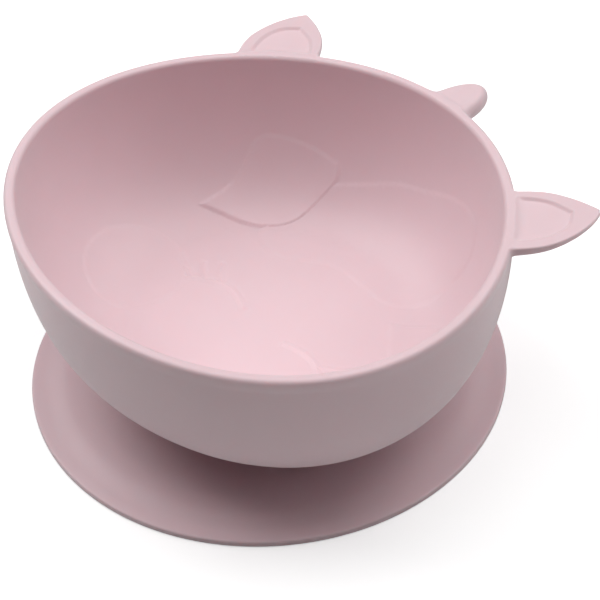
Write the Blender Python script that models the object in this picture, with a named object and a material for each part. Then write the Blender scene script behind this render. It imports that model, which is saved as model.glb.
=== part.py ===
"""Suction bowl for small children: a deep silicone bowl shaped as an animal head, on a wide suction foot.

Metres, +Z up. The foot rests on z = 0 and +Y points to the top of the head, where the horn is. The origin
is at the middle of the bounding box, so the axis of the bowl and the foot stands a little behind it.
"""

import math

import bmesh
import bpy
from mathutils import Vector

# Driving dimensions
HEIGHT = 0.0567              # table to the top of the lip
BOWL_RADIUS = 0.0628         # mean outer radius at the lip
WALL = 0.0030                # bowl wall, which is also the lip's width
FLOOR_UNDERSIDE = 0.0110     # height of the bowl's underside
FLOOR_THICKNESS = 0.0032
FLOOR_SHARE = 0.60           # flat floor radius over lip radius
DEPTH_POWER = 2.7            # how late the wall starts to round in
ROUNDING = 0.57              # how fully it rounds into the floor
CHEEK = -0.063               # second to fifth harmonics of the head's outline
MUZZLE = 0.023
CROWN = 0.007
TEMPLE = -0.0036
BOWL_SHIFT = 0.0005          # the bowl stands this much towards the horn from the foot
FOOT_RADIUS = 0.0620
EDGE_THICKNESS = 0.0018      # of the foot's edge
SEAL_HEIGHT = 0.0026         # of the sealing rim where the dome begins
SEAL_UNDERSIDE = 0.0008      # of the hollow there
SEAL_INNER_RADIUS = 0.0520   # where the flat sealing rim ends and the flexible dome begins
NECK_RADIUS = 0.0200
NECK_BOTTOM = 0.0083
NECK_FLARE = 0.0015
DOME_THICKNESS = 0.0020
HORN_REACH = 0.0730          # foot's axis to the tip of the horn
HORN_HALF_WIDTH = 0.0060
HORN_DEPTH = 0.0046          # top to bottom
EAR_THICKNESS = 0.0024
EAR_STEP = 0.0002            # the ear's top face lies this much under the lip's top
EAR_BORDER = 0.0034          # raised border round the inner ear
EAR_RECESS = 0.0006
GAP = 0.0003                 # between pieces that touch

# An ear in plan, measured from the foot's axis: (sideways, towards the horn)
EAR_INNER_ROOT = (0.0385, 0.0486)
EAR_INNER_BEND = (0.0457, 0.0566)
EAR_TIP = (0.0571, 0.0584)
EAR_OUTER_BEND = (0.0636, 0.0462)
EAR_OUTER_ROOT = (0.0544, 0.0330)

AXIS_Y = (FOOT_RADIUS - HORN_REACH) / 2   # puts the origin at the middle of the bounding box
SEGMENTS = 64

for old in list(bpy.data.objects):
    bpy.data.objects.remove(old)


def silicone():
    """Matt moulded silicone, pastel pink."""
    material = bpy.data.materials.new("pink_silicone")
    material.use_nodes = True
    shader = material.node_tree.nodes["Principled BSDF"]
    shader.inputs["Base Color"].default_value = (0.80, 0.58, 0.62, 1)
    shader.inputs["Roughness"].default_value = 0.55
    shader.inputs["Metallic"].default_value = 0.0
    return material


SILICONE = silicone()


def finish(name, shape, parent):
    """Turns a bmesh into a smooth-shaded object with its faces pointing out."""
    bmesh.ops.recalc_face_normals(shape, faces=shape.faces)
    mesh = bpy.data.meshes.new(name)
    shape.to_mesh(mesh)
    shape.free()
    mesh.shade_smooth()
    mesh.set_sharp_from_angle(angle=math.radians(40))
    mesh.materials.append(SILICONE)
    piece = bpy.data.objects.new(name, mesh)
    bpy.context.scene.collection.objects.link(piece)
    piece.parent = parent
    return piece


def mount_empty(name, location):
    """An empty that carries the pieces of one moving body."""
    empty = bpy.data.objects.new(name, None)
    bpy.context.scene.collection.objects.link(empty)
    empty.location = location
    return empty


def outline(angle):
    """Share of the mean radius at this angle from the horn: a head with wide cheeks and a flatter muzzle."""
    return (
        1
        + CHEEK * math.cos(2 * angle)
        + MUZZLE * math.cos(3 * angle)
        + CROWN * math.cos(4 * angle)
        + TEMPLE * math.cos(5 * angle)
    )


def wall_share(depth):
    """Share of the lip's radius at this share of the depth: steep sides that round into a flat floor."""
    return FLOOR_SHARE + (1 - FLOOR_SHARE) * (1 - depth**DEPTH_POWER) ** ROUNDING


def head_ring(radius, z, shift=0.0):
    """Points of one level of the bowl; shift moves the outline outwards."""
    points = []
    for i in range(SEGMENTS):
        angle = 2 * math.pi * i / SEGMENTS
        reach = radius * outline(angle) + shift
        points.append(Vector((reach * math.sin(angle), BOWL_SHIFT + reach * math.cos(angle), z)))
    return points


def round_ring(radius, z):
    """Points of one level of a turned shape."""
    turns = (2 * math.pi * i / SEGMENTS for i in range(SEGMENTS))
    return [Vector((radius * math.sin(a), radius * math.cos(a), z)) for a in turns]


def loft(rings, close=False):
    """Skins the rings in order. An open loft is capped at both ends; a closed one joins its ends to each other."""
    shape = bmesh.new()
    loops = [[shape.verts.new(point) for point in ring] for ring in rings]
    pairs = list(zip(loops, loops[1:]))
    if close:
        pairs.append((loops[-1], loops[0]))
    for lower, upper in pairs:
        for i in range(len(lower)):
            j = (i + 1) % len(lower)
            shape.faces.new((lower[i], lower[j], upper[j], upper[i]))
    if not close:
        shape.faces.new(reversed(loops[0]))
        shape.faces.new(loops[-1])
    return shape


# The foot stays on the table and the bowl slides down on it, so each has its own empty on the common axis.
foot = mount_empty("foot_axis", (0, AXIS_Y, 0))
bowl = mount_empty("bowl_axis", (0, AXIS_Y, 0))


def make_bowl_shell():
    """Open bowl with a rounded lip, a steep wall and a flat floor."""
    outer_steps = (1.0, 0.97, 0.92, 0.85, 0.75, 0.62, 0.46, 0.28, 0.12)
    lip_steps = 4
    lip = WALL / 2
    shoulder = HEIGHT - lip
    inner_floor = FLOOR_UNDERSIDE + FLOOR_THICKNESS
    rings = []
    for depth in outer_steps:
        z = shoulder - depth * (shoulder - FLOOR_UNDERSIDE)
        rings.append(head_ring(BOWL_RADIUS * wall_share(depth), z))
    for step in range(lip_steps + 1):
        turn = math.pi * step / lip_steps
        rings.append(head_ring(BOWL_RADIUS, shoulder + lip * math.sin(turn), lip * math.cos(turn) - lip))
    for depth in reversed(outer_steps):
        z = shoulder - depth * (shoulder - inner_floor)
        rings.append(head_ring(BOWL_RADIUS * wall_share(depth), z, -WALL))
    return finish("bowl_shell", loft(rings), bowl)


def bezier(start, bend, end, share):
    """Point of a quadratic curve in plan."""
    here = (1 - share) ** 2
    middle = 2 * share * (1 - share)
    there = share**2
    return Vector([here * a + middle * b + there * c for a, b, c in zip(start, bend, end)])


def plan_angle(point):
    """Angle from the horn, seen from the bowl's axis."""
    return math.atan2(point[0], point[1] - BOWL_SHIFT)


def on_wall(angle, clearance):
    """Point in plan outside the lip at this clearance."""
    reach = BOWL_RADIUS * outline(angle) + clearance
    return Vector((reach * math.sin(angle), BOWL_SHIFT + reach * math.cos(angle)))


def ear_outline(steps=10):
    """Plan of the right ear: along its inner edge to the tip, back along the outer edge, then along the wall."""
    points = [bezier(EAR_INNER_ROOT, EAR_INNER_BEND, EAR_TIP, i / steps) for i in range(1, steps + 1)]
    points += [bezier(EAR_TIP, EAR_OUTER_BEND, EAR_OUTER_ROOT, i / steps) for i in range(1, steps)]
    first = plan_angle(EAR_OUTER_ROOT)
    last = plan_angle(EAR_INNER_ROOT)
    root_steps = 6
    for i in range(root_steps + 1):
        points.append(on_wall(first + (last - first) * i / root_steps, GAP))
    return points


def inner_ear_outline(steps=8):
    """Plan of the recess: the two edges moved inwards by the border, open towards the bowl."""
    middle = (Vector(EAR_INNER_ROOT) + Vector(EAR_OUTER_ROOT)) / 2
    along = (Vector(EAR_TIP) - middle).normalized()
    across = Vector((along.y, -along.x))
    past_root = 0.006
    inner_root = Vector(EAR_INNER_ROOT) + EAR_BORDER * across - past_root * along
    inner_bend = Vector(EAR_INNER_BEND) + EAR_BORDER * across
    tip = Vector(EAR_TIP) - 1.7 * EAR_BORDER * along
    outer_bend = Vector(EAR_OUTER_BEND) - EAR_BORDER * across
    outer_root = Vector(EAR_OUTER_ROOT) - EAR_BORDER * across - past_root * along
    points = [bezier(inner_root, inner_bend, tip, i / steps) for i in range(steps + 1)]
    points += [bezier(tip, outer_bend, outer_root, i / steps) for i in range(1, steps + 1)]
    return points


def prism(points, low, high, side):
    """Upright prism over a plan outline; side -1 mirrors it to the left."""
    rings = [[Vector((side * p[0], p[1], z)) for p in points] for z in (low, high)]
    return loft(rings)


def make_ear(name, side):
    """Flat ear flush with the lip, with a shallow inner ear pressed into its top."""
    top = HEIGHT - EAR_STEP
    ear = finish(name, prism(ear_outline(), top - EAR_THICKNESS, top, side), bowl)
    cutter_shape = prism(inner_ear_outline(), top - EAR_RECESS, top + EAR_RECESS, side)
    cutter = finish(name + "_recess_cutter", cutter_shape, bowl)
    cutter.hide_render = True
    cutter.display_type = "WIRE"
    recess = ear.modifiers.new("inner_ear", "BOOLEAN")
    recess.operation = "DIFFERENCE"
    recess.object = cutter
    return ear


def squared(value, power):
    """Pushes a sine or cosine outwards, which squares up the circle that it draws."""
    return math.copysign(abs(value) ** power, value)


def make_horn():
    """Short blunt horn: a rounded finger, flush with the lip, that flares a little where it leaves the wall."""
    sections = 9
    sides = 20
    bluntness = 2.6
    squareness = 0.8
    root_flare = 0.35
    flare_length = 0.3
    middle_z = HEIGHT - EAR_STEP - HORN_DEPTH / 2
    root = on_wall(0.0, GAP).y
    rings = []
    for step in range(sections):
        share = 1 - (1 - step / sections) ** 2
        size = (1 - share**bluntness) ** 0.5
        flare = 1 + root_flare * max(0.0, 1 - share / flare_length) ** 2
        ring = []
        for i in range(sides):
            turn = 2 * math.pi * i / sides
            x = HORN_HALF_WIDTH * size * flare * squared(math.cos(turn), squareness)
            z = middle_z + HORN_DEPTH / 2 * size * squared(math.sin(turn), squareness)
            wall = on_wall(math.atan2(x, root), GAP).y
            ring.append(Vector((x, wall + (HORN_REACH - root) * share, z)))
        rings.append(ring)
    rings.append([Vector((0.2 * p.x, HORN_REACH, middle_z + 0.2 * (p.z - middle_z))) for p in rings[-1]])
    return finish("horn", loft(rings), bowl)


def make_neck():
    """Solid waisted neck that joins the bowl's floor to the top of the dome."""
    top = FLOOR_UNDERSIDE - GAP
    waist = (top + NECK_BOTTOM) / 2
    wide = NECK_RADIUS + NECK_FLARE
    rings = [round_ring(wide, NECK_BOTTOM), round_ring(NECK_RADIUS, waist), round_ring(wide, top)]
    return finish("neck", loft(rings), bowl)


def dome_height(radius):
    """Top of the dome at this radius: flat over the neck, then a hollow slope that runs out to the sealing rim."""
    crown = NECK_BOTTOM - GAP
    crown_radius = NECK_RADIUS + 2 * NECK_FLARE
    run = max(0.0, (radius - crown_radius) / (SEAL_INNER_RADIUS - crown_radius))
    return SEAL_HEIGHT + (crown - SEAL_HEIGHT) * (1 - run) ** 1.6


def make_suction_dome():
    """Thin flexible dome, hollow underneath, that flattens when the bowl is pressed down."""
    outside = SEAL_INNER_RADIUS - GAP
    under = (0.010, 0.023, 0.030, 0.037, 0.044)
    rings = [round_ring(radius, dome_height(radius) - DOME_THICKNESS) for radius in under]
    rings.append(round_ring(outside, SEAL_UNDERSIDE))
    rings.append(round_ring(outside, dome_height(outside)))
    rings += [round_ring(radius, dome_height(radius)) for radius in reversed(under)]
    return finish("suction_dome", loft(rings), foot)


def make_sealing_rim():
    """Edge of the foot: a flat ring underneath that seals on the table, and a flat band on top of the edge."""
    land_inner = 0.0560
    band_inner = 0.0590
    chamfer = 0.0005
    levels = (
        (SEAL_INNER_RADIUS, SEAL_UNDERSIDE),
        (land_inner, 0.0),
        (FOOT_RADIUS - chamfer, 0.0),
        (FOOT_RADIUS, chamfer),
        (FOOT_RADIUS, EDGE_THICKNESS - chamfer),
        (FOOT_RADIUS - chamfer, EDGE_THICKNESS),
        (band_inner, EDGE_THICKNESS),
        (SEAL_INNER_RADIUS, SEAL_HEIGHT),
    )
    return finish("sealing_rim", loft([round_ring(radius, z) for radius, z in levels], close=True), foot)


make_bowl_shell()
make_ear("ear_right", 1)
make_ear("ear_left", -1)
make_horn()
make_neck()
make_suction_dome()
make_sealing_rim()
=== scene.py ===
"""Suction bowl for small children, in soft pastel pink silicone.

The bowl is a unicorn's head seen from above: two ears and a stub of a horn stand out from the lip, and the
face is raised a little on the inside. It stands on a wide suction foot. Metres, +Z up, the horn towards +Y.
"""

import math

import bmesh
import bpy
import numpy as np
from mathutils import Matrix, Vector


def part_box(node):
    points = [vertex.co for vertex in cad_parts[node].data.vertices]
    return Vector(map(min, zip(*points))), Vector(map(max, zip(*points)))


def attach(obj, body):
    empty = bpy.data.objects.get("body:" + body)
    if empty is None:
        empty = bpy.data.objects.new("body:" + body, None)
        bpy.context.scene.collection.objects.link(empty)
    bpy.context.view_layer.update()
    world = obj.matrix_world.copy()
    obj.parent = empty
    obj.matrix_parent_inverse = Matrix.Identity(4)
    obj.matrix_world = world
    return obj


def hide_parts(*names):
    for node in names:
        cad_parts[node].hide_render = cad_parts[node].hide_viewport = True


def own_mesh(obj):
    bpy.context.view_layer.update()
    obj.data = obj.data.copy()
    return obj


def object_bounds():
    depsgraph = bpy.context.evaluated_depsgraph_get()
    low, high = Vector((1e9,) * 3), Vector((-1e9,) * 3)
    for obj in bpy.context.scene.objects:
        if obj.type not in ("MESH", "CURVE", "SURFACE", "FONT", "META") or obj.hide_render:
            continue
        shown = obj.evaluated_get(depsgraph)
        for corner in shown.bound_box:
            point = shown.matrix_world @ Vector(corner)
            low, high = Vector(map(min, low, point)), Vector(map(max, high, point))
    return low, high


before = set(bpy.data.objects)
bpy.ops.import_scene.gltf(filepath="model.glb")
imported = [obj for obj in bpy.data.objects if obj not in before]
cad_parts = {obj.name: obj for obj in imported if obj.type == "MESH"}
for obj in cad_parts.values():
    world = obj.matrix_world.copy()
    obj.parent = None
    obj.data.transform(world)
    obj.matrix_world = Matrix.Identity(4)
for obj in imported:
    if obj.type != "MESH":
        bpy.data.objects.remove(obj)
cad_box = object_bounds()

# ---------------------------------------------------------------------------------------------------------
# The camera: a long lens, from above the bowl's chin and to its left, tilted a little about its own axis.
# It looks at the table behind the bowl's far cheek, which puts the bowl in the middle of the picture.

MM = 0.001
CAMERA_AZIMUTH = math.radians(55.0)
CAMERA_ELEVATION = math.radians(41.42)
CAMERA_ROLL = math.radians(-3.06)
CAMERA_DISTANCE = 439.6 * MM
CAMERA_TARGET = Vector((-15.16, 16.13, 0)) * MM
LENS = 96.0
SENSOR = 36.0

towards_camera = Vector((
    math.sin(CAMERA_AZIMUTH) * math.cos(CAMERA_ELEVATION),
    -math.cos(CAMERA_AZIMUTH) * math.cos(CAMERA_ELEVATION),
    math.sin(CAMERA_ELEVATION),
))
level = Vector((math.cos(CAMERA_AZIMUTH), math.sin(CAMERA_AZIMUTH), 0))
roll = Matrix.Rotation(CAMERA_ROLL, 3, towards_camera)
camera_right = roll @ level
camera_up = roll @ towards_camera.cross(level)
camera_data = bpy.data.cameras.new("camera")
camera_data.lens = LENS
camera_data.sensor_width = SENSOR
camera = bpy.data.objects.new("camera", camera_data)
camera.matrix_world = Matrix.Translation(CAMERA_TARGET + CAMERA_DISTANCE * towards_camera) @ Matrix(
    (camera_right, camera_up, towards_camera)
).transposed().to_4x4()
bpy.context.scene.collection.objects.link(camera)
bpy.context.scene.camera = camera

# ---------------------------------------------------------------------------------------------------------
# The bowl: one seamless moulding of food-grade silicone, 3 mm thick, pressed in a two-part mould with its
# ears, its horn and the neck that stands on the foot. Every edge leaves the mould slightly rounded.

sealing_low, sealing_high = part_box("sealing_rim")
shell_low, shell_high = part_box("bowl_shell")
AXIS_Y = (sealing_low.y + sealing_high.y) / 2
BOWL_Y = AXIS_Y + 0.5 * MM           # the bowl stands this much towards the horn from the foot
LIP_TOP = shell_high.z
UNDERSIDE = shell_low.z
MEAN_RADIUS = 62.8 * MM
WALL = 3.0 * MM
FLOOR = 3.2 * MM
FLOOR_SHARE = 0.60                   # flat floor radius over lip radius
DEPTH_POWER = 2.7                    # how late the wall starts to round in
ROUNDING = 0.57                      # how fully it rounds into the floor
SHOULDER = LIP_TOP - WALL / 2        # where the lip starts to round over
LIP_EDGE = 1.2 * MM                  # radius of the lip's two edges
BEAD = 0.3 * MM                      # the lip stands this much proud of the wall outside
BEAD_HEIGHT = 2.4 * MM
BLEND = 1.5 * MM                     # the moulding's inner corners are eased over about this length
BATCH = 1000                         # points worked out at a time


def head_outline(angle):
    """Share of the mean radius at this angle from the horn: wide cheeks and a flatter muzzle."""
    return (
        1 - 0.063 * np.cos(2 * angle) + 0.023 * np.cos(3 * angle)
        + 0.007 * np.cos(4 * angle) - 0.0036 * np.cos(5 * angle)
    )


def wall_profile(steps=480, fine_steps=4000):
    """Middle of the wall, from the axis to the lip: radius and height, tangent, bend, half thickness and its
    change, and length so far."""
    depth = 1 - np.linspace(0, 1, fine_steps) ** 2
    share = FLOOR_SHARE + (1 - FLOOR_SHARE) * (1 - depth**DEPTH_POWER) ** ROUNDING
    radius = np.r_[0, MEAN_RADIUS * share - WALL / 2]
    height = SHOULDER - np.r_[1, depth] * (SHOULDER - UNDERSIDE - FLOOR / 2)
    # From face to face the wall is upright in the floor and level at the lip.
    across = np.c_[np.r_[0, np.full(len(depth), WALL)], -FLOOR * np.r_[1, depth]]
    length = np.r_[0, np.cumsum(np.hypot(np.diff(radius), np.diff(height)))]
    along = np.linspace(0, length[-1], steps)
    path = np.c_[radius, height, across]
    path = np.stack([np.interp(along, length, column) for column in path.T], axis=1)
    spacing = along[1]
    reach = int(3 * BLEND / spacing)
    weights = np.exp(-0.5 * (np.arange(-reach, reach + 1) * spacing / BLEND) ** 2)
    weights /= weights.sum()
    before = 2 * path[0] - path[reach:0:-1]
    after = 2 * path[-1] - path[-2 : -reach - 2 : -1]
    path = np.stack([
        np.convolve(column, weights, "valid") for column in np.r_[before, path, after].T
    ], axis=1)
    middle, across = path[:, :2], path[:, 2:]
    tangent = np.gradient(middle, along, axis=0)
    tangent /= np.linalg.norm(tangent, axis=1)[:, None]
    bend = np.gradient(np.unwrap(np.arctan2(tangent[:, 1], tangent[:, 0])), along)
    half = np.abs(across[:, 1] * tangent[:, 0] - across[:, 0] * tangent[:, 1]) / 2
    return middle, tangent, bend, half, np.gradient(half, along), along


PROFILE, TANGENT, BEND, HALF_WALL, THICKENING, ALONG = wall_profile()


def on_wall(points):
    """Height over the middle of the wall (positive inside the bowl), half the wall there, how far past the
    wall's end the point is, and the face's own plane coordinates, with the wall rolled out flat round the
    floor."""
    angle = np.arctan2(points[:, 0], points[:, 1] - BOWL_Y)
    reach = np.hypot(points[:, 0], points[:, 1] - BOWL_Y)
    stretch = head_outline(angle)
    nearest = np.empty(len(points), int)
    for start in range(0, len(points), BATCH):
        part = slice(start, start + BATCH)
        off_radius = reach[part, None] - stretch[part, None] * PROFILE[:, 0]
        off_height = points[part, 2, None] - PROFILE[:, 1]
        nearest[part] = np.argmin(off_radius**2 + off_height**2, axis=1)
    tangent = np.c_[TANGENT[nearest, 0] * stretch, TANGENT[nearest, 1]]
    tangent /= np.linalg.norm(tangent, axis=1)[:, None]
    off_radius = reach - PROFILE[nearest, 0] * stretch
    off_height = points[:, 2] - PROFILE[nearest, 1]
    forward = off_radius * tangent[:, 0] + off_height * tangent[:, 1]
    over = off_height * tangent[:, 0] - off_radius * tangent[:, 1] - BEND[nearest] * forward**2 / 2
    past_end = ALONG[nearest] - ALONG[-1] + forward
    half = HALF_WALL[nearest] + THICKENING[nearest] * forward
    rolled = (ALONG[nearest] + forward) * stretch
    plane = np.c_[rolled * np.sin(angle), rolled * np.cos(angle)]
    return over, half, past_end, plane


def smooth_step(value):
    """Eases from 0 to 1 as the value goes from 0 to 1."""
    value = np.clip(value, 0, 1)
    return value * value * (3 - 2 * value)


def smooth_run(points, steps=6):
    """Points along a smooth curve through a run of plan points in millimetres (Catmull-Rom)."""
    run = np.array([points[0], *points, points[-1]], float) * MM
    curve = []
    for a, b, c, d in zip(run, run[1:], run[2:], run[3:]):
        for t in np.arange(steps) / steps:
            curve.append(b + t * (c - a) / 2 + t * t * (a - 2.5 * b + 2 * c - d / 2)
                         + t**3 * (1.5 * b - a / 2 - 1.5 * c + d / 2))
    return curve + [run[-1]]


def closed_outline(*runs):
    """Plan outline of smooth runs that meet in corners; each run ends where the next one starts."""
    return np.array([point for run in runs for point in smooth_run(run)[:-1]])


def outline_distance(points, outline, margin=6 * MM):
    """Distance from plan points to a closed outline, negative inside; far points only get a large value."""
    low, high = outline.min(0) - margin, outline.max(0) + margin
    near = np.flatnonzero(((points > low) & (points < high)).all(1))
    result = np.full(len(points), margin)
    for part in np.array_split(near, len(near) // BATCH + 1):
        here = points[part, None]
        side = np.roll(outline, -1, 0) - outline
        gap = here - outline
        share = np.clip((gap * side).sum(2) / (side**2).sum(1), 0, 1)
        away = np.linalg.norm(gap - share[..., None] * side, axis=2).min(1)
        above = here[..., 1] < outline[:, 1]
        crossing = above != np.roll(above, -1, 1)
        cut = outline[:, 0] + gap[..., 1] / np.where(side[:, 1] == 0, 1, side[:, 1]) * side[:, 0]
        inside = (crossing & (here[..., 0] < cut)).sum(1) % 2 == 1
        result[part] = np.where(inside, -away, away)
    return result


# The face, drawn on the floor and the rolled-out wall in millimetres from the bowl's axis, horn upwards.
TUFT = closed_outline(
    ((-49.4, 12.3), (-43.9, 15.4), (-36.6, 18.9), (-31.0, 23.5), (-27.9, 30), (-28.1, 40), (-28.7, 48),
     (-31.5, 51)),
    ((-31.5, 51), (-39.7, 49.3), (-47.8, 45.5), (-53.4, 41), (-54.9, 36.5), (-52.3, 30.4), (-49.4, 23),
     (-49.4, 12.3)),
)
FORELOCK = closed_outline(
    ((-31.8, 20.9), (-28.3, 18.3), (-23.2, 17.7), (-16.5, 20), (-10.4, 25), (-4.1, 27.7), (3.8, 27.6),
     (12.4, 28), (18.6, 31.6), (23.6, 37.5), (26.3, 45), (28.9, 53), (26.6, 60.5), (20.3, 64.4), (10, 64.8),
     (-1.5, 62), (-11, 59), (-18.5, 54.0), (-26, 48), (-33, 41), (-35, 31), (-31.8, 20.9)),
)
SIDE_LOCK = closed_outline(
    ((20.5, 24.2), (27.5, 17.6), (36, 13), (46, 12), (53, 17)),
    ((53, 17), (50, 27), (42, 33), (31, 31), (20.5, 24.2)),
)
CHEEK_MIDDLE = np.array((40.0, -16.0)) * MM
CHEEK_RADIUS = 15.0 * MM
LASH_LINES = (
    ((9.0, -1.3), (14.0, 0.2), (19.0, 0.3), (23.5, -1.8), (28.5, -5.8)),
    ((21.5, 0.2), (24.3, 2.0), (27.0, 4.4)),
    ((25.0, -2.4), (27.8, -1.0), (30.3, 0.9)),
    ((28.0, -5.0), (30.2, -4.2), (32.6, -4.0)),
)
TUFT_RELIEF = 0.62 * MM              # it lies over the forelock
HAIR_RELIEF = 0.32 * MM
CHEEK_RELIEF = 0.30 * MM
LASH_RELIEF = 0.45 * MM
LASH_WIDTH = 1.3 * MM
RELIEF_EDGE = 1.7 * MM               # width of the slope at a raised edge
FADE_START = 40.0 * MM               # up the wall the face gets shallower, so that it leaves the mould
FADE_RUN = 22.0 * MM
FADE = 0.35


def stroke_distance(points, line):
    """Distance from plan points to an open smooth line."""
    curve = np.array(smooth_run(line, 4))
    away = np.full(len(points), np.inf)
    for start, end in zip(curve, curve[1:]):
        side = end - start
        share = np.clip((points - start) @ side / (side @ side), 0, 1)
        away = np.minimum(away, np.linalg.norm(points - start - share[:, None] * side, axis=1))
    return away


def face_relief(plane):
    """Height of the raised face over the wall."""
    def raised(distance, height):
        return height * smooth_step(0.5 - distance / RELIEF_EDGE)

    mirrored = np.c_[np.abs(plane[:, 0]), plane[:, 1]]
    relief = raised(outline_distance(plane, TUFT), TUFT_RELIEF)
    relief = np.maximum(relief, raised(outline_distance(plane, FORELOCK), HAIR_RELIEF))
    relief = np.maximum(relief, raised(outline_distance(plane, SIDE_LOCK), HAIR_RELIEF))
    cheek = np.linalg.norm(mirrored - CHEEK_MIDDLE, axis=1) - CHEEK_RADIUS
    relief = np.maximum(relief, raised(cheek, CHEEK_RELIEF))
    for line in LASH_LINES:
        away = stroke_distance(mirrored, line) - LASH_WIDTH / 2
        relief = np.maximum(relief, raised(away, LASH_RELIEF))
    up_the_wall = (np.linalg.norm(plane, axis=1) - FADE_START) / FADE_RUN
    return relief * (1 - FADE * smooth_step(up_the_wall))


# The ears and the horn are flat tongues, flush with the lip. Plan points are from the foot's axis, in
# millimetres: sideways, then towards the horn. The left ear mirrors the right one.
TONGUE_STEP = 0.2 * MM               # the tongues' tops lie this much under the lip's top
EAR_THICKNESS = 2.4 * MM
EAR_TAPER = 0.065                    # the ear thins by this share of the way out from the lip
EAR_EDGE = 0.5 * MM                  # radius of its edges
EAR_RECESS = 0.75 * MM
RECESS_START = 1.0 * MM              # the recess starts this far inside the lip's outer edge
RECESS_RUN = 3.5 * MM                # and gets its depth over this length
RECESS_EDGE = 1.2 * MM
HORN_DEPTH = 5.0 * MM
HORN_EDGE = 2.45 * MM
HORN_HALF_WIDTH = 6.3 * MM
HORN_FILLET = 5.0 * MM
HORN_START = 1.3 * MM                # its fillets run into the lip this far inside the outer edge
ROOT_FILLET = 1.2 * MM
TONGUE_TOP = LIP_TOP - TONGUE_STEP
EAR = closed_outline(
    ((35, 41), (38.5, 47.8), (43.8, 53.6), (50.3, 56.9), (57.1, 58.6)),
    ((57.1, 58.6), (59.0, 53.6), (59.7, 46.8), (58.4, 39.6), (54.6, 33.3), (50, 28.5)),
    ((50, 28.5), (35, 41)),
)
INNER_EAR = closed_outline(
    ((36.5, 42), (40.6, 46.6), (44.2, 50.0), (47.8, 51.9), (52.9, 52.9)),
    ((52.9, 52.9), (55.6, 49.5), (56.3, 45.4), (55.0, 40.5), (51.4, 34.8), (48, 31)),
    ((48, 31), (36.5, 42)),
)
horn_low, horn_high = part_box("horn")
HORN_ROOT = horn_low.y - AXIS_Y
HORN_LENGTH = horn_high.y - horn_low.y


def horn_distance(plan):
    """Distance from plan points to the horn's outline, half an ellipse that runs on behind its root."""
    smallest = 0.01
    across = plan[:, 0] / HORN_HALF_WIDTH
    forward = np.maximum(plan[:, 1] - HORN_ROOT, 0) / HORN_LENGTH
    share = np.maximum(np.hypot(across, forward), smallest)
    steepness = np.hypot(across / HORN_HALF_WIDTH, forward / HORN_LENGTH)
    return (share - 1) * share / steepness.clip(smallest / HORN_LENGTH)


def smooth_union(a, b, size):
    """Nearer of two distances, with a fillet of about this size where they meet."""
    share = np.clip(0.5 + (b - a) / (2 * size), 0, 1)
    return b + (a - b) * share - size * share * (1 - share)


def rounded_slab(plan, height, top, bottom, edge):
    """Distance to a flat slab with rounded edges, from the distance to its outline in plan."""
    beyond = np.c_[plan + edge, np.maximum(height - top, bottom - height) + edge]
    return np.minimum(beyond.max(1), 0) + np.linalg.norm(np.maximum(beyond, 0), axis=1) - edge


def tongues_distance(plan, height, from_lip, rough):
    """Distance to the ears and the horn, which start in the middle of the lip."""
    within_lip = -(from_lip + WALL / 2)
    recess = EAR_RECESS * smooth_step(0.5 - outline_distance(plan, INNER_EAR) / RECESS_EDGE)
    recess = recess * smooth_step((from_lip + RECESS_START) / RECESS_RUN)
    thickness = EAR_THICKNESS - (0 if rough else EAR_TAPER) * np.maximum(from_lip, 0)
    ear = outline_distance(plan, EAR, FAR_OFF)
    ear = rounded_slab(ear, height, TONGUE_TOP - recess, TONGUE_TOP - thickness, EAR_EDGE)
    ear = np.maximum(ear, within_lip)
    horn = smooth_union(horn_distance(plan), from_lip + HORN_START, HORN_FILLET)
    horn = rounded_slab(horn, height, TONGUE_TOP, TONGUE_TOP - HORN_DEPTH, HORN_EDGE)
    horn = np.maximum(horn, within_lip)
    horn = np.where(plan[:, 0] < BESIDE_HORN, horn, 10 * MM)
    return np.minimum(ear, horn)


NECK_RADIUS = 20.0 * MM
NECK_BOTTOM = 7.6 * MM               # a little inside the foot's crown
NECK_EDGE = 0.5 * MM
NECK_FILLET = 2.0 * MM

# The face, the tongues and the neck are worked out only for the points near them.
NEAR_FACE = 1.5 * MM                 # from the wall's inside
FAR_OFF = 12.0 * MM                  # from the ears in plan, and under the tongues' top
BESIDE_HORN = 20.0 * MM              # sideways from the middle
BEFORE_TONGUES = 20.0 * MM           # from the foot's axis towards the horn
INSIDE_LIP = 6.0 * MM


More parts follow.
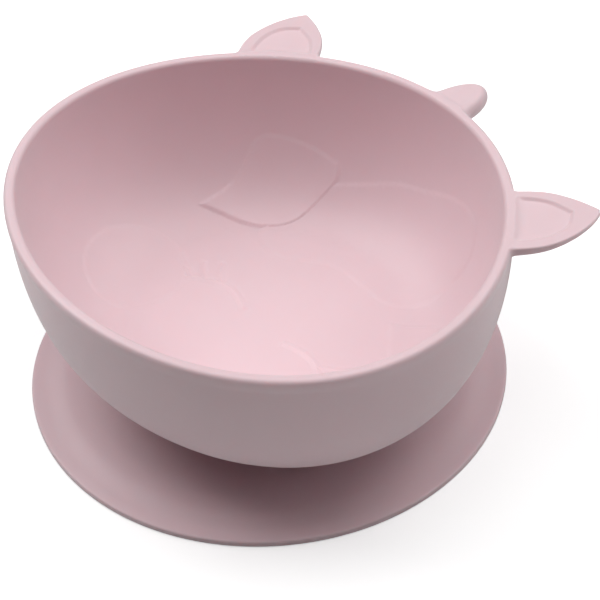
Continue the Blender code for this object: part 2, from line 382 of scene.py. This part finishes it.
def bowl_field(points, rough=False):
    """Distance to the moulding's surface, negative inside the silicone. The rough one has no face, and ears
    of even thickness."""
    over, half, past_end, plane = on_wall(points)
    bead = BEAD * smooth_step((past_end + BEAD_HEIGHT) / BEAD_HEIGHT) - BEAD
    beyond = np.c_[np.abs(over) - half - np.where(over < 0, bead, 0), past_end - WALL / 2] + LIP_EDGE
    field = np.minimum(beyond.max(1), 0) + np.linalg.norm(np.maximum(beyond, 0), axis=1) - LIP_EDGE
    if not rough:
        near = np.flatnonzero((over > 0) & (np.abs(field) < NEAR_FACE))
        field[near] -= face_relief(plane[near])
    height = points[:, 2]
    angle = np.arctan2(points[:, 0], points[:, 1] - BOWL_Y)
    from_lip = np.hypot(points[:, 0], points[:, 1] - BOWL_Y) - MEAN_RADIUS * head_outline(angle)
    plan = np.c_[np.abs(points[:, 0]), points[:, 1] - AXIS_Y]
    close = (height > TONGUE_TOP - FAR_OFF) & (plan[:, 1] > BEFORE_TONGUES) & (from_lip > -INSIDE_LIP)
    close = np.flatnonzero(close)
    if len(close):
        tongues = tongues_distance(plan[close], height[close], from_lip[close], rough)
        field[close] = smooth_union(field[close], tongues, ROOT_FILLET)
    low = np.flatnonzero(height < UNDERSIDE + FLOOR)
    if len(low):
        from_axis = np.hypot(points[low, 0], points[low, 1] - AXIS_Y) - NECK_RADIUS
        neck = rounded_slab(from_axis, height[low], UNDERSIDE + FLOOR / 2, NECK_BOTTOM, NECK_EDGE)
        field[low] = smooth_union(field[low], neck, NECK_FILLET)
    return np.maximum(field, height - LIP_TOP)


def slope(field, points, step=0.01 * MM):
    """Gradient of a field."""
    return np.stack([
        (field(points + shift) - field(points - shift)) / (2 * step) for shift in np.eye(3) * step
    ], axis=1)


def settle(field, points, rounds=3, longest_move=0.6 * MM):
    """Moves points onto the surface, in steps that stay short where the field is flat."""
    for _ in range(rounds):
        gradient = slope(field, points)
        steepness = np.maximum((gradient**2).sum(1), 0.2)
        move = (field(points) / steepness)[:, None] * gradient
        length = np.linalg.norm(move, axis=1)[:, None]
        points = points - move * np.minimum(1, longest_move / np.maximum(length, 1e-12))
    return points


def skin(field, low, high, cell):
    """Quads over the surface of a field, with one vertex in every cell that the surface crosses."""
    counts = np.ceil((high - low) / cell).astype(int) + 1
    x, y, z = (low[i] + cell * np.arange(counts[i]) for i in range(3))
    nodes = np.stack(np.meshgrid(x, y, z, indexing="ij"), axis=-1).reshape(-1, 3)
    values = field(nodes).reshape(counts)
    inside = values < 0
    cells = counts - 1
    weight = np.zeros(cells)
    place = np.zeros((*cells, 3))
    # Each cell's vertex is the mean of the points where the surface crosses the cell's edges.
    for axis in range(3):
        others = [i for i in range(3) if i != axis]
        for a in (0, 1):
            for b in (0, 1):
                shift = np.zeros(3, int)
                shift[others] = a, b
                start = tuple(slice(s, s + n) for s, n in zip(shift, cells))
                shift[axis] += 1
                end = tuple(slice(s, s + n) for s, n in zip(shift, cells))
                crossing = inside[start] != inside[end]
                share = values[start] / np.where(crossing, values[start] - values[end], 1)
                corner = np.zeros((*cells, 3))
                corner[..., others[0]] = a
                corner[..., others[1]] = b
                corner[..., axis] = share
                place += np.where(crossing[..., None], corner, 0)
                weight += crossing
    crossed = weight > 0
    number = np.full(cells, -1)
    number[crossed] = np.arange(crossed.sum())
    points = low + cell * (np.argwhere(crossed) + place[crossed] / weight[crossed][:, None])
    quads = []
    # Each grid edge that the surface crosses gets a quad, through the vertices of the four cells round it.
    for axis in range(3):
        b, c = (axis + 1) % 3, (axis + 2) % 3
        here = [slice(1, n - 1) for n in counts]
        here[axis] = slice(0, counts[axis] - 1)
        there = list(here)
        there[axis] = slice(1, counts[axis])
        leaving = inside[tuple(here)] & ~inside[tuple(there)]
        entering = ~inside[tuple(here)] & inside[tuple(there)]
        for edges, order in ((leaving, 1), (entering, -1)):
            at = np.argwhere(edges) + [0 if i == axis else 1 for i in range(3)]
            ring = []
            for db, dc in ((-1, -1), (0, -1), (0, 0), (-1, 0))[::order]:
                cell_at = at.copy()
                cell_at[:, b] += db
                cell_at[:, c] += dc
                ring.append(number[tuple(cell_at.T)])
            quads.append(np.stack(ring, axis=1))
    return points, np.concatenate(quads)


def edges_of(faces):
    """Each edge of the faces once."""
    ends = np.stack([faces, np.roll(faces, -1, 1)], axis=2).reshape(-1, 2)
    return np.unique(np.sort(ends, axis=1), axis=0)


def even_out(field, points, quads, rounds):
    """Each vertex moves to the middle of its neighbours and back onto the surface."""
    a, b = edges_of(quads).T
    for _ in range(rounds):
        total = np.zeros_like(points)
        np.add.at(total, a, points[b])
        np.add.at(total, b, points[a])
        count = np.bincount(np.r_[a, b], minlength=len(points))
        points = settle(field, 0.4 * points + 0.6 * total / count[:, None], rounds=1)
    return settle(field, points)


def refine(field, shape, tolerance):
    """Quarters every face with an edge that stands off the surface, and settles the new vertices."""
    shape.verts.index_update()
    shape.edges.index_update()
    places = np.array([v.co for v in shape.verts], float)
    edges = list(shape.edges)
    ends = places[np.array([(e.verts[0].index, e.verts[1].index) for e in edges])]
    off = np.zeros(len(edges), bool)
    for share in (0.25, 0.5, 0.75):
        off |= np.abs(field((1 - share) * ends[:, 0] + share * ends[:, 1])) > tolerance
    rough = {face for i in np.flatnonzero(off) for face in edges[i].link_faces}
    chosen = list({edge for face in rough for edge in face.edges})
    chosen.sort(key=lambda edge: edge.index)
    old = len(shape.verts)
    bmesh.ops.subdivide_edges(shape, edges=chosen, cuts=1, use_grid_fill=True)
    shape.verts.ensure_lookup_table()
    added = shape.verts[old:]
    settled = settle(field, np.array([v.co for v in added], float), rounds=2)
    for vertex, place in zip(added, settled):
        vertex.co = place


BASE_CELL = 1.2 * MM
FINEST_ERROR = 0.025 * MM
REFINEMENTS = 3

low = np.array(cad_box[0]) - 2 * BASE_CELL
low[2] = NECK_BOTTOM - 2 * BASE_CELL
high = np.array(cad_box[1]) + 2 * BASE_CELL
points, quads = skin(lambda p: bowl_field(p, rough=True), low, high, BASE_CELL)
points = even_out(bowl_field, settle(bowl_field, points), quads, rounds=3)
shape = bmesh.new()
vertices = [shape.verts.new(point) for point in points]
for quad in quads:
    shape.faces.new([vertices[i] for i in quad])
for _ in range(REFINEMENTS):
    refine(bowl_field, shape, FINEST_ERROR)
bowl_mesh = bpy.data.meshes.new("bowl_moulding")
shape.to_mesh(bowl_mesh)
shape.free()
bowl_mesh.shade_smooth()
places = np.array([v.co for v in bowl_mesh.vertices], float)
normals = slope(bowl_field, places, 0.03 * MM)
normals /= np.linalg.norm(normals, axis=1)[:, None]
bowl_mesh.normals_split_custom_set_from_vertices(normals)
bowl = bpy.data.objects.new("bowl_moulding", bowl_mesh)
bpy.context.scene.collection.objects.link(bowl)


def node(tree, kind, **settings):
    """A new shader node; a setting named after an input fills that input, and any other is a property."""
    made = tree.nodes.new(kind)
    for name, value in settings.items():
        if name.replace("_", " ") in made.inputs:
            made.inputs[name.replace("_", " ")].default_value = value
        else:
            setattr(made, name, value)
    return made


def pink_silicone(name):
    """Matt pastel silicone: faintly uneven dye, a satin skin, and the mould's fine spark texture."""
    material = bpy.data.materials.new(name)
    material.use_nodes = True
    tree = material.node_tree
    shader = tree.nodes["Principled BSDF"]
    shader.inputs["IOR"].default_value = 1.47
    shader.inputs["Subsurface Weight"].default_value = 0.25
    shader.inputs["Subsurface Radius"].default_value = (1.0, 0.45, 0.4)
    shader.inputs["Subsurface Scale"].default_value = 2.0 * MM
    shader.inputs["Sheen Weight"].default_value = 0.35
    shader.inputs["Sheen Roughness"].default_value = 0.5
    place = node(tree, "ShaderNodeTexCoord").outputs["Object"]

    clouds = node(tree, "ShaderNodeTexNoise", Scale=28.0, Detail=3.0, Roughness=0.5)
    dye = node(tree, "ShaderNodeValToRGB")
    dye.color_ramp.elements[0].position = 0.3
    dye.color_ramp.elements[0].color = (0.774, 0.582, 0.618, 1)
    dye.color_ramp.elements[1].position = 0.7
    dye.color_ramp.elements[1].color = (0.800, 0.604, 0.642, 1)
    specks = node(tree, "ShaderNodeTexNoise", Scale=1500.0, Detail=2.0, Roughness=0.6)
    sheen_map = node(tree, "ShaderNodeMapRange", From_Min=0.3, From_Max=0.7, To_Min=0.40, To_Max=0.52)
    grain = node(tree, "ShaderNodeTexNoise", Scale=4200.0, Detail=2.0, Roughness=0.5)
    relief = node(tree, "ShaderNodeBump", Strength=0.12, Distance=0.03 * MM)
    links = tree.links
    for texture in (clouds, specks, grain):
        links.new(place, texture.inputs["Vector"])
    links.new(clouds.outputs["Fac"], dye.inputs["Fac"])
    links.new(dye.outputs["Color"], shader.inputs["Base Color"])
    links.new(specks.outputs["Fac"], sheen_map.inputs["Value"])
    links.new(sheen_map.outputs["Result"], shader.inputs["Roughness"])
    links.new(grain.outputs["Fac"], relief.inputs["Height"])
    links.new(relief.outputs["Normal"], shader.inputs["Normal"])
    return material


silicone = pink_silicone("pink_silicone")
bowl_mesh.materials.append(silicone)
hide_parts("bowl_shell", "ear_left", "ear_right", "horn", "neck")
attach(bowl, "bowl")

# ---------------------------------------------------------------------------------------------------------
# The suction foot: a thin flexible dome, hollow underneath, with a flat sealing land round its edge. It is
# of the same silicone as the bowl. Pressing the bowl down flattens it, and its spring holds the suction.

FOOT_RADIUS = (sealing_high.x - sealing_low.x) / 2
CROWN = 8.0 * MM                     # top of the dome under the neck
CROWN_RADIUS = 23.0 * MM
SEAL_RADIUS = 52.0 * MM              # the dome runs out into the edge here
SEAL_TOP = 2.6 * MM
BAND_FALL = 7.0 * MM                 # from there its top falls over this length to the edge's height
EDGE_TOP = 1.8 * MM
LAND_RADIUS = 56.0 * MM              # the flat land lies on the table from here to the edge
MIDDLE_RADIUS = 0.5 * MM             # the dome closes over this little disc
DOME = 2.0 * MM                      # its thickness
EDGE_ROUND = 0.5 * MM
FOOT_SEGMENTS = 256


def dome_top(radius):
    """Height of the foot's upper side at this radius."""
    run = np.clip((radius - CROWN_RADIUS) / (SEAL_RADIUS - CROWN_RADIUS), 0, 1)
    return SEAL_TOP + (CROWN - SEAL_TOP) * (1 - run) ** 1.6


def foot_profile():
    """Half section from the middle of the top, out over the edge and back underneath."""
    edge = FOOT_RADIUS - EDGE_ROUND
    turns = np.linspace(0, math.pi / 2, 6)
    top = [(r, dome_top(r)) for r in np.linspace(MIDDLE_RADIUS, SEAL_RADIUS, 40)]
    band = [(r, SEAL_TOP + (EDGE_TOP - SEAL_TOP) * smooth_step(np.array((r - SEAL_RADIUS) / BAND_FALL)))
            for r in np.linspace(SEAL_RADIUS + 1 * MM, edge, 14)]
    upper = [(edge + EDGE_ROUND * math.sin(t), EDGE_TOP - EDGE_ROUND + EDGE_ROUND * math.cos(t))
             for t in turns[1:]]
    lower = [(edge + EDGE_ROUND * math.cos(t), EDGE_ROUND - EDGE_ROUND * math.sin(t)) for t in turns]
    land = [(LAND_RADIUS, 0.0), (LAND_RADIUS - 2 * MM, 0.3 * MM), (SEAL_RADIUS, 0.8 * MM)]
    under = [(r, dome_top(r) - DOME) for r in np.linspace(SEAL_RADIUS - 2 * MM, MIDDLE_RADIUS, 24)]
    return [(float(r), float(z)) for r, z in top + band + upper + lower + land + under]


shape = bmesh.new()
rings = []
for radius, height in foot_profile():
    turns = (2 * math.pi * i / FOOT_SEGMENTS for i in range(FOOT_SEGMENTS))
    rings.append([
        shape.verts.new((radius * math.cos(t), AXIS_Y + radius * math.sin(t), height)) for t in turns
    ])
for inner, outer in zip(rings, rings[1:]):
    for i in range(FOOT_SEGMENTS):
        j = (i + 1) % FOOT_SEGMENTS
        shape.faces.new((inner[i], outer[i], outer[j], inner[j]))
shape.faces.new(rings[0])
shape.faces.new(reversed(rings[-1]))
bmesh.ops.recalc_face_normals(shape, faces=shape.faces)
foot_mesh = bpy.data.meshes.new("suction_foot")
shape.to_mesh(foot_mesh)
shape.free()
foot_mesh.shade_smooth()
foot_mesh.set_sharp_from_angle(angle=math.radians(50))
foot_mesh.materials.append(silicone)
foot = bpy.data.objects.new("suction_foot", foot_mesh)
bpy.context.scene.collection.objects.link(foot)
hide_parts("suction_dome", "sealing_rim")
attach(foot, "foot")
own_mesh(foot)

# ---------------------------------------------------------------------------------------------------------
# The table: a plain white sheet that runs on behind the bowl, lit from below like a tracing table so that
# hardly a shadow shows. The glow doesn't fall on the bowl. Not part of the object.

PAPER_WHITE = 0.75
PAPER_GLOW = 0.50
TABLE_SIZE = 6.0
shape = bmesh.new()
bmesh.ops.create_grid(shape, x_segments=1, y_segments=1, size=TABLE_SIZE / 2)
table_mesh = bpy.data.meshes.new("table")
shape.to_mesh(table_mesh)
shape.free()
table = bpy.data.objects.new("table", table_mesh)
bpy.context.scene.collection.objects.link(table)
paper = bpy.data.materials.new("white_paper")
paper.use_nodes = True
paper_shader = paper.node_tree.nodes["Principled BSDF"]
paper_shader.inputs["Base Color"].default_value = (PAPER_WHITE, PAPER_WHITE, PAPER_WHITE, 1)
paper_shader.inputs["Roughness"].default_value = 0.9
paper_shader.inputs["Emission Color"].default_value = (1, 1, 1, 1)
paper_shader.inputs["Emission Strength"].default_value = PAPER_GLOW
table_mesh.materials.append(paper)
lit_by_paper = bpy.data.collections.new("lit_by_paper")
lit_by_paper.objects.link(camera)    # so nothing solid is
table.light_linking.receiver_collection = lit_by_paper

# ---------------------------------------------------------------------------------------------------------
# The light: four large softboxes round the bowl in a dark room. The two behind it are the strong ones, so
# the outside of the bowl towards the camera is lit mostly by what the table throws back.

SOFTBOX_SIZE = 0.8
SOFTBOX_DISTANCE = 1.2
SOFTBOXES = {                        # degrees right of the camera, degrees above the table, watts
    "overhead": (0, 90, 4.5),
    "behind_left": (240, 50, 7.9),
    "behind_right": (120, 50, 5.4),
    "front_right": (60, 50, 1.9),
}

world = bpy.data.worlds.new("dark_room")
world.use_nodes = True
world.node_tree.nodes["Background"].inputs["Color"].default_value = (1, 1, 1, 1)
world.node_tree.nodes["Background"].inputs["Strength"].default_value = 0.01
bpy.context.scene.world = world
for name, (right_of_camera, above, watts) in SOFTBOXES.items():
    softbox_data = bpy.data.lights.new(name, "AREA")
    softbox_data.shape = "SQUARE"
    softbox_data.size = SOFTBOX_SIZE
    softbox_data.energy = watts
    softbox = bpy.data.objects.new(name, softbox_data)
    turn = CAMERA_AZIMUTH + math.radians(right_of_camera)
    climb = math.radians(above)
    towards_light = Vector((
        math.sin(turn) * math.cos(climb), -math.cos(turn) * math.cos(climb), math.sin(climb)
    ))
    softbox.location = SOFTBOX_DISTANCE * towards_light
    softbox.rotation_mode = "QUATERNION"
    softbox.rotation_quaternion = towards_light.to_track_quat("Z", "Y")
    bpy.context.scene.collection.objects.link(softbox)
bpy.context.scene.view_settings.view_transform = "Standard"
